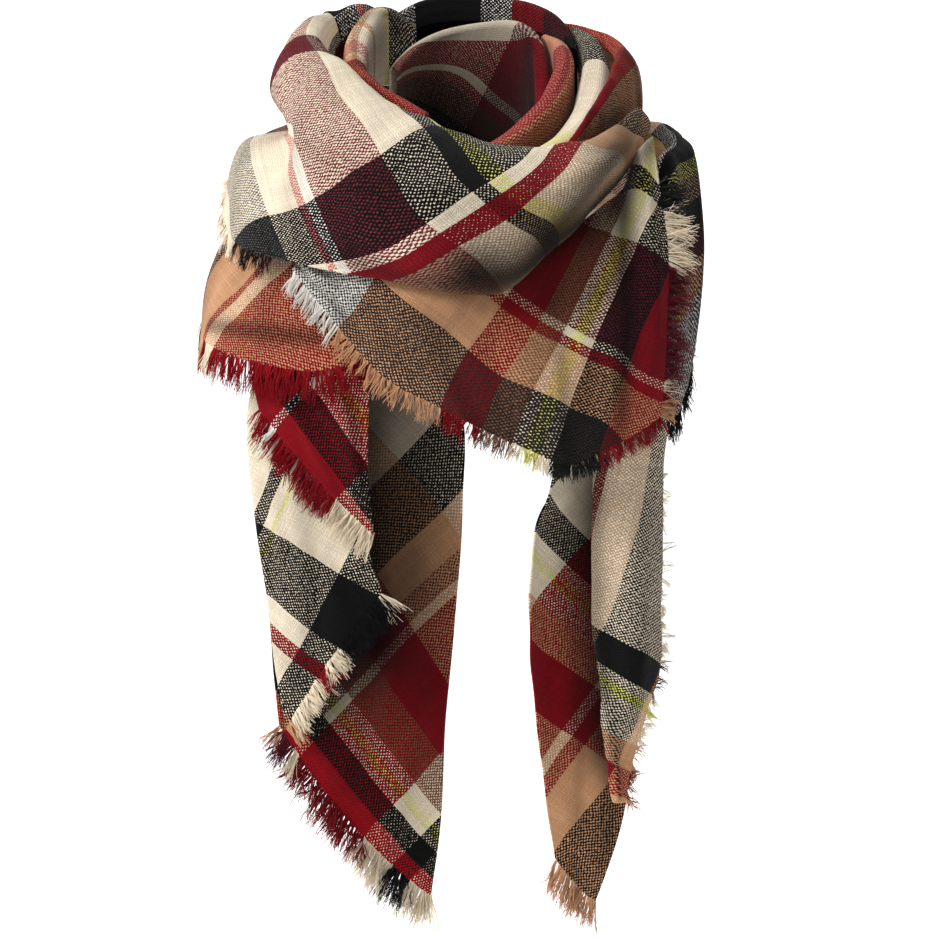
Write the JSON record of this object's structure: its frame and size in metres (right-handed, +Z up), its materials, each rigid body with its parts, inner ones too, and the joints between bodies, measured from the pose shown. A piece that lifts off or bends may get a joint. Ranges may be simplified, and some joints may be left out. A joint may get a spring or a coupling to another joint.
{
  "type": "blanket scarf",
  "caption": "Large square tartan blanket scarf folded corner to corner and worn wound round the neck, with a draped front and two hanging frayed tails",
  "frame": {"origin": "the middle of the neck, level with where the scarf rests on the shoulders; the wearer holds it there", "axes": "+Z up the wearer's neck, -Y the front where the point hangs, +X to the right seen from in front"},
  "size_m": [0.4148, 0.3638, 0.773],
  "materials": {
    "tartan_cloth": "soft brushed coarse plain weave in cream, camel, red, burgundy and black with thin yellow lines",
    "frayed_yarn": "loose frayed yarn"
  },
  "bodies": {
    "root": {"front_cowl": "tartan_cloth", "bib": "tartan_cloth", "under_drape": "tartan_cloth", "over_wrap": "tartan_cloth", "under_wrap": "tartan_cloth", "roll_right_outer": "tartan_cloth", "roll_right_inner": "tartan_cloth", "roll_left": "tartan_cloth", "nape_wrap": "tartan_cloth", "collar": "tartan_cloth", "left_tail": "tartan_cloth", "left_tail_flap": "tartan_cloth", "left_tail_tongue": "tartan_cloth", "right_tail": "tartan_cloth", "right_tail_roll": "tartan_cloth", "fringe_cowl": "frayed_yarn", "fringe_under_drape": "frayed_yarn", "fringe_bib_left": "frayed_yarn", "fringe_bib_right": "frayed_yarn", "fringe_over_wrap": "frayed_yarn", "fringe_under_wrap": "frayed_yarn", "fringe_left_tail": "frayed_yarn", "fringe_left_flap": "frayed_yarn", "fringe_left_tongue": "frayed_yarn", "fringe_right_tail": "frayed_yarn", "fringe_right_roll": "frayed_yarn"}
  },
  "joints": []
}
